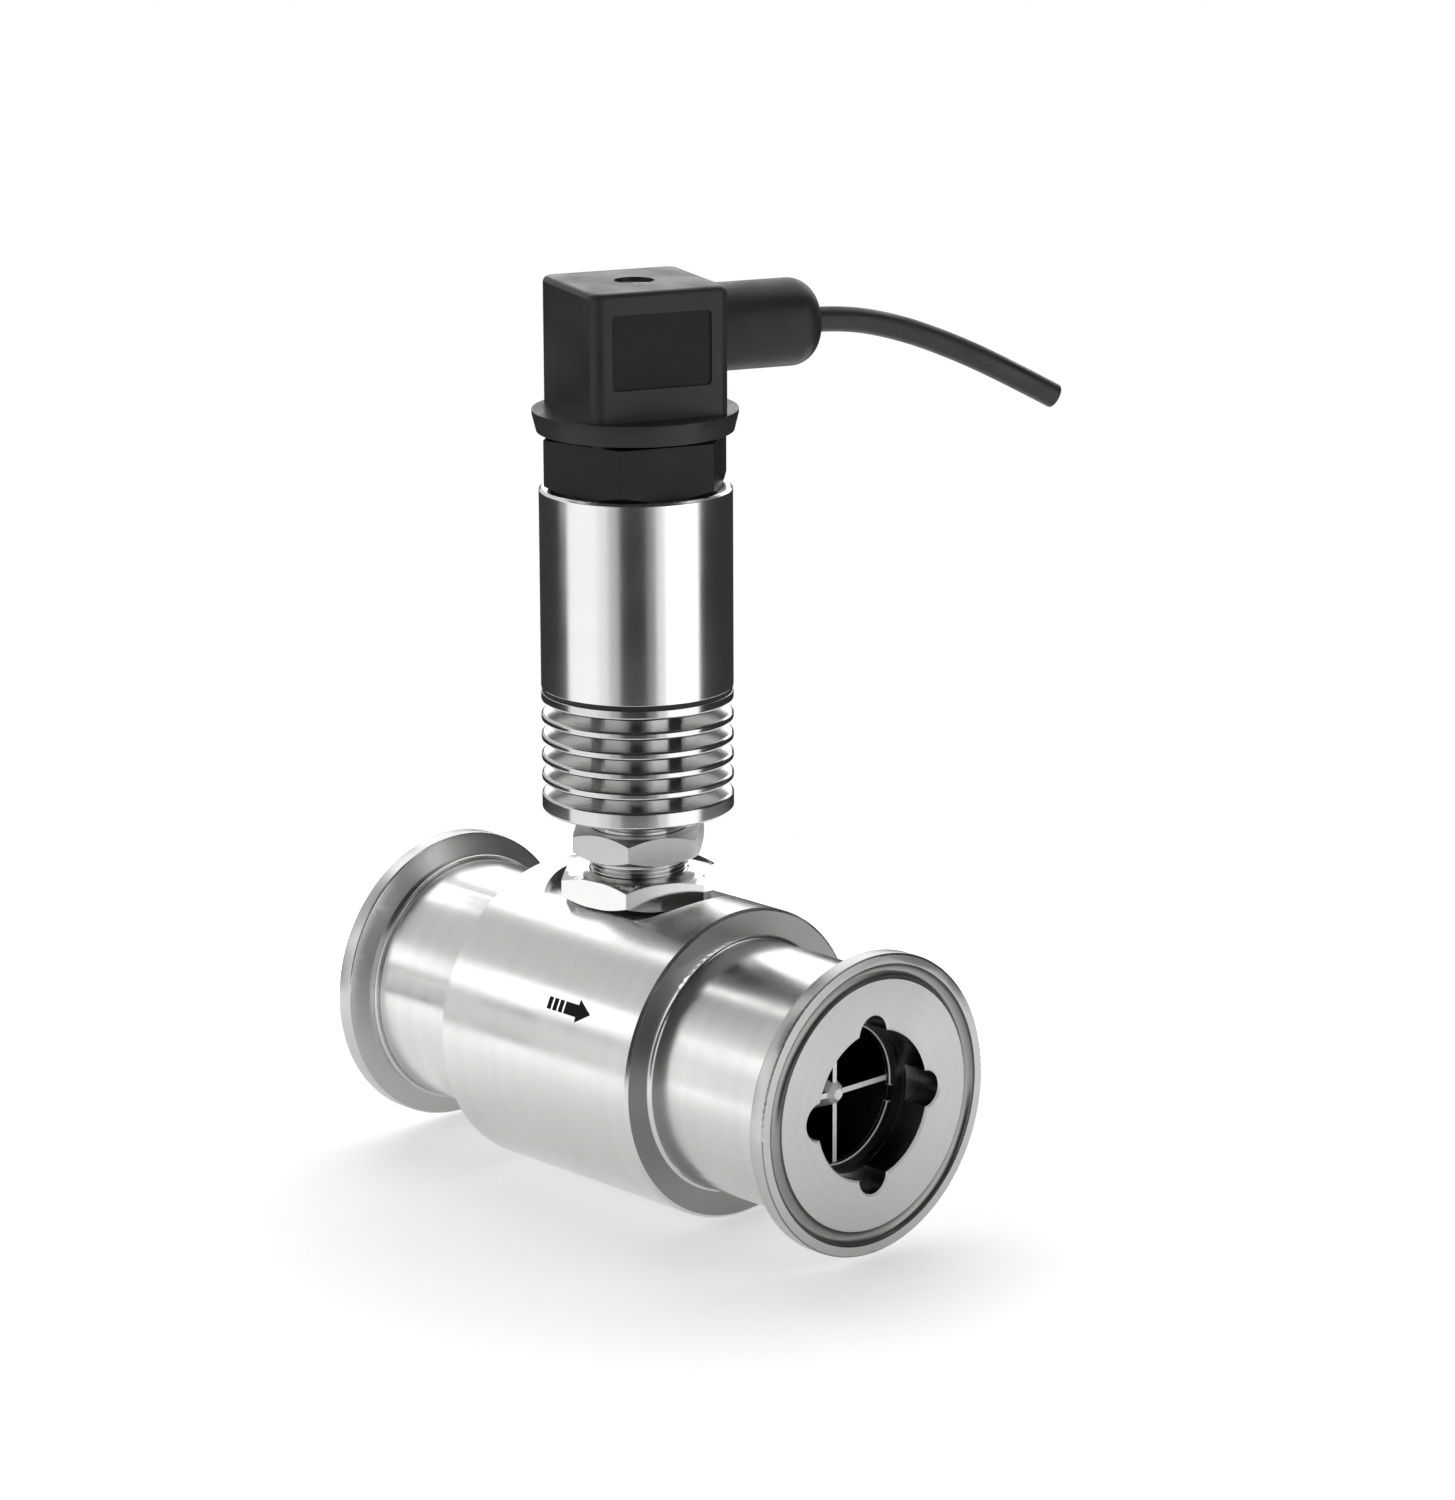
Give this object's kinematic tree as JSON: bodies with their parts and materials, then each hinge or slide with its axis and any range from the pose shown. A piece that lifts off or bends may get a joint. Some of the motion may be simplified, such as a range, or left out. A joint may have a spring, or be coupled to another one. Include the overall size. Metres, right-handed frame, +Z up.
{
  "type": "flow meter",
  "caption": "In-line turbine flow meter with clamp ferrules, a bladed rotor, a finned pickup tower, and a right-angle plug with a cable stub.",
  "frame": {"origin": "centre of the inlet clamp face, on the bore axis", "axes": "+X along the bore in the flow direction, +Z up along the pickup tower, +Y to the left of the flow"},
  "size_m": [0.105, 0.0988, 0.1543],
  "materials": {
    "body_steel": "satin turned stainless",
    "ferrule_steel": "satin turned stainless",
    "sleeve_steel": "polished stainless",
    "sink_steel": "bright turned stainless",
    "nut_steel": "bright stainless",
    "stem_steel": "bright threaded stainless",
    "guide_steel": "polished stainless edges",
    "rotor_steel": "ferritic stainless, machined",
    "spring_steel": "bright spring steel",
    "bearing_carbide": "ground hard metal",
    "magnet_metal": "plated magnet",
    "coil_copper": "enamelled copper",
    "bobbin_plastic": "natural nylon",
    "lead_plastic": "insulated wire",
    "board_green": "glass epoxy with solder mask",
    "component_black": "moulded epoxy",
    "contact_metal": "tinned brass",
    "base_plastic": "moulded polyamide, fine grain",
    "plug_plastic": "moulded polyamide, fine grain",
    "block_plastic": "moulded polyamide",
    "gland_plastic": "moulded polyamide",
    "seal_rubber": "nitrile rubber",
    "cable_rubber": "PVC sheath",
    "screw_steel": "zinc plated"
  },
  "bodies": {
    "root": {"meter_body": "body_steel", "inlet_ferrule": "ferrule_steel", "outlet_ferrule": "ferrule_steel", "inlet_straightener": "guide_steel", "outlet_straightener": "guide_steel", "inlet_retaining_ring": "spring_steel", "outlet_retaining_ring": "spring_steel", "inlet_bearing_bush": "bearing_carbide", "outlet_bearing_bush": "bearing_carbide", "thrust_balls": "bearing_carbide", "pickup_stem": "stem_steel", "stem_gasket": "seal_rubber", "lower_hex_nut": "nut_steel", "upper_lock_nut": "nut_steel", "coil_bobbin": "bobbin_plastic", "coil_winding": "coil_copper", "pole_pin": "rotor_steel", "pickup_magnet": "magnet_metal", "pickup_leads": "lead_plastic", "heat_sink": "sink_steel", "sleeve_seal": "seal_rubber", "spigot_o_ring": "seal_rubber", "housing_sleeve": "sleeve_steel", "preamp_board": "board_green", "board_components": "component_black", "connector_base": "base_plastic", "contact_blades": "contact_metal", "profile_seal": "seal_rubber"},
    "rotor": {"rotor": "rotor_steel", "rotor_shaft": "bearing_carbide"},
    "plug": {"plug_housing": "plug_plastic", "terminal_block": "block_plastic", "fixing_screw": "screw_steel", "gland_cap": "gland_plastic", "gland_washer": "gland_plastic", "gland_grommet": "seal_rubber", "cable_tail": "cable_rubber", "cable": "cable_rubber"}
  },
  "joints": [
    {"name": "rotor_spin", "type": "hinge", "parent": "root", "child": "rotor", "pos_m": [0.0494, 0, 0], "axis": [1, 0, 0], "continuous": true},
    {"name": "plug_pull", "type": "slide", "parent": "root", "child": "plug", "axis": [0, 0, 1], "range_m": [0, 0.011]}
  ]
}
